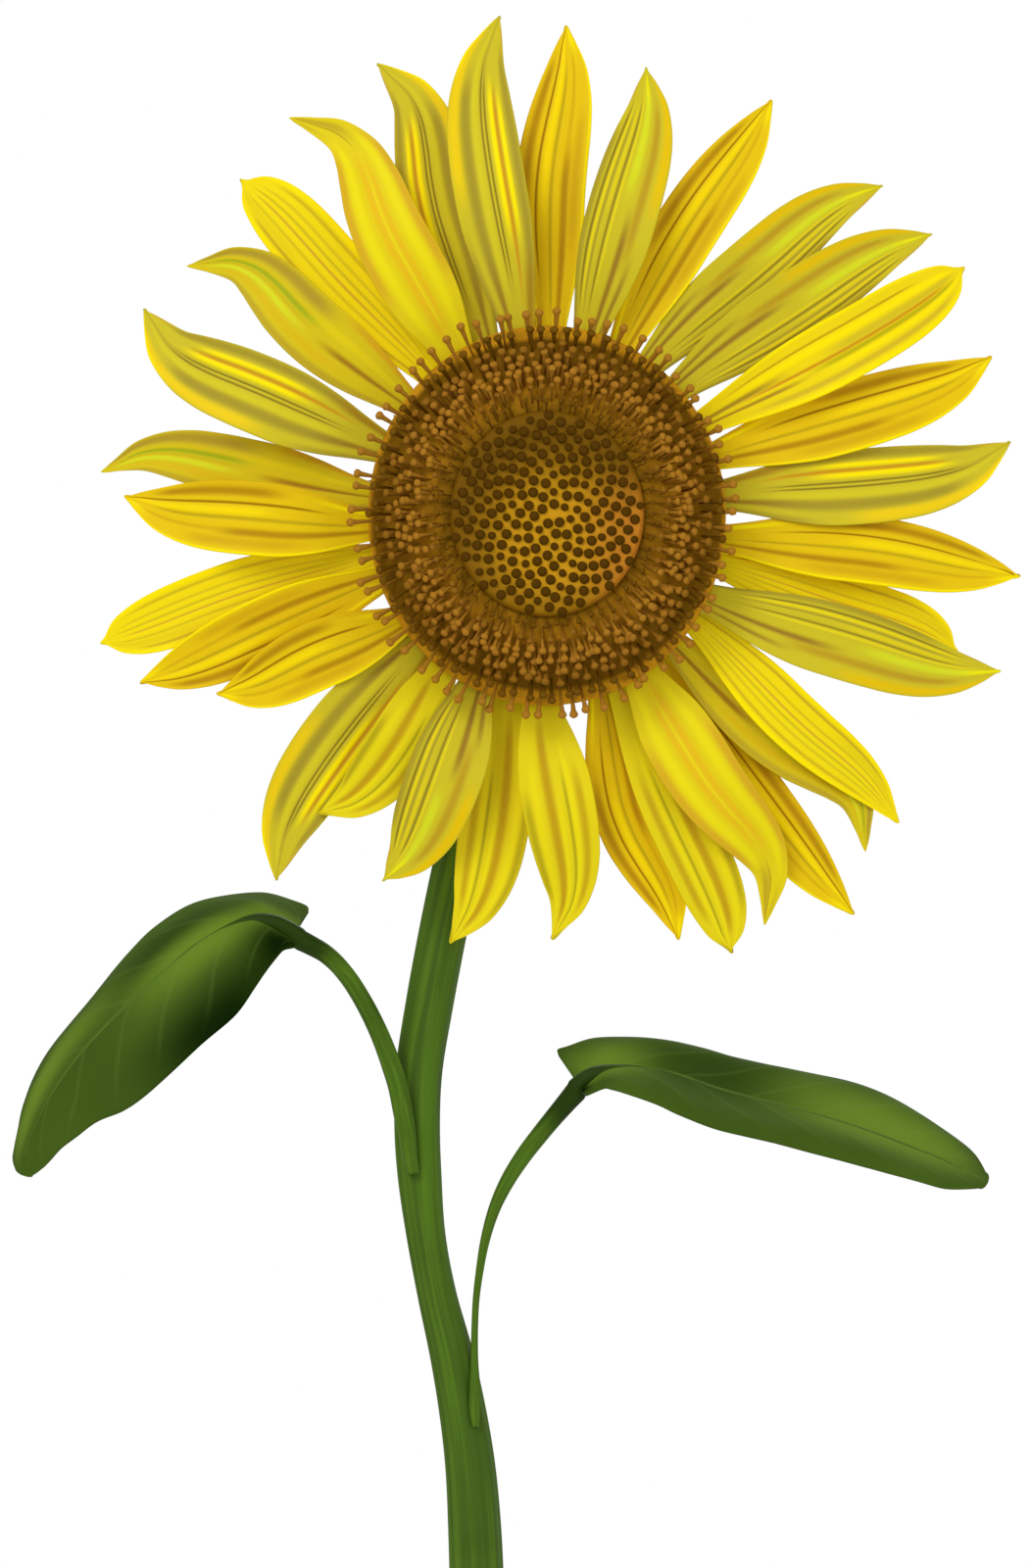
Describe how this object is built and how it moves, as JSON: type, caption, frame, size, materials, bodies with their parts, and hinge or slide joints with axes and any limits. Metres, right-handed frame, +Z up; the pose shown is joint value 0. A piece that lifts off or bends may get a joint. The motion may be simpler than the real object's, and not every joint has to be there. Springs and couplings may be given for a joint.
{
  "type": "sunflower plant",
  "caption": "Single-stem dwarf sunflower plant: a leaning stem with two stalked leaves and one open flower head that looks to the front.",
  "frame": {"origin": "middle of the flat cut under the stem, at ground level", "axes": "+Z up, the flower looks along -Y, +X to the right as seen from the front"},
  "size_m": [0.2805, 0.0763, 0.5507],
  "materials": {
    "stem_skin": "green herbaceous stem skin, satin, with fine lengthwise streaks and short pale hairs",
    "stalk_skin": "green leaf stalk, satin, with fine lengthwise streaks",
    "leaf_blade": "smooth dark green leaf with a lighter midrib and side veins, satin",
    "head_back": "mid green, matt, finely hairy back of the flower head",
    "bract": "green, matt, pointed and lightly ribbed",
    "disc_ground": "dark brown ground between the florets, matt, golden towards the middle",
    "open_florets": "light to dark brown florets with round heads, matt",
    "closed_buds": "dark brown round buds on a golden brown ground, matt",
    "ray_petal": "bright yellow petal with golden and olive lengthwise streaks and fine grooves, satin"
  },
  "bodies": {
    "root": {"stem": "stem_skin", "petiole_left": "stalk_skin", "petiole_right": "stalk_skin", "leaf_left": "leaf_blade", "leaf_right": "leaf_blade", "receptacle": "head_back", "disc": "disc_ground", "floret_ring": "open_florets", "bud_cushion": "closed_buds", "ray_00": "ray_petal", "ray_01": "ray_petal", "ray_02": "ray_petal", "ray_03": "ray_petal", "ray_04": "ray_petal", "ray_05": "ray_petal", "ray_06": "ray_petal", "ray_07": "ray_petal", "ray_08": "ray_petal", "ray_09": "ray_petal", "ray_10": "ray_petal", "ray_11": "ray_petal", "ray_12": "ray_petal", "ray_13": "ray_petal", "ray_14": "ray_petal", "ray_15": "ray_petal", "ray_16": "ray_petal", "ray_17": "ray_petal", "ray_18": "ray_petal", "ray_19": "ray_petal", "ray_20": "ray_petal", "ray_21": "ray_petal", "ray_22": "ray_petal", "ray_23": "ray_petal", "ray_24": "ray_petal", "ray_25": "ray_petal", "ray_26": "ray_petal", "ray_27": "ray_petal", "ray_28": "ray_petal", "ray_29": "ray_petal", "ray_30": "ray_petal", "ray_31": "ray_petal", "ray_32": "ray_petal", "bract_00": "bract", "bract_01": "bract", "bract_02": "bract", "bract_03": "bract", "bract_04": "bract", "bract_05": "bract", "bract_06": "bract", "bract_07": "bract", "bract_08": "bract", "bract_09": "bract", "bract_10": "bract", "bract_11": "bract", "bract_12": "bract", "bract_13": "bract", "bract_14": "bract", "bract_15": "bract"}
  },
  "joints": []
}
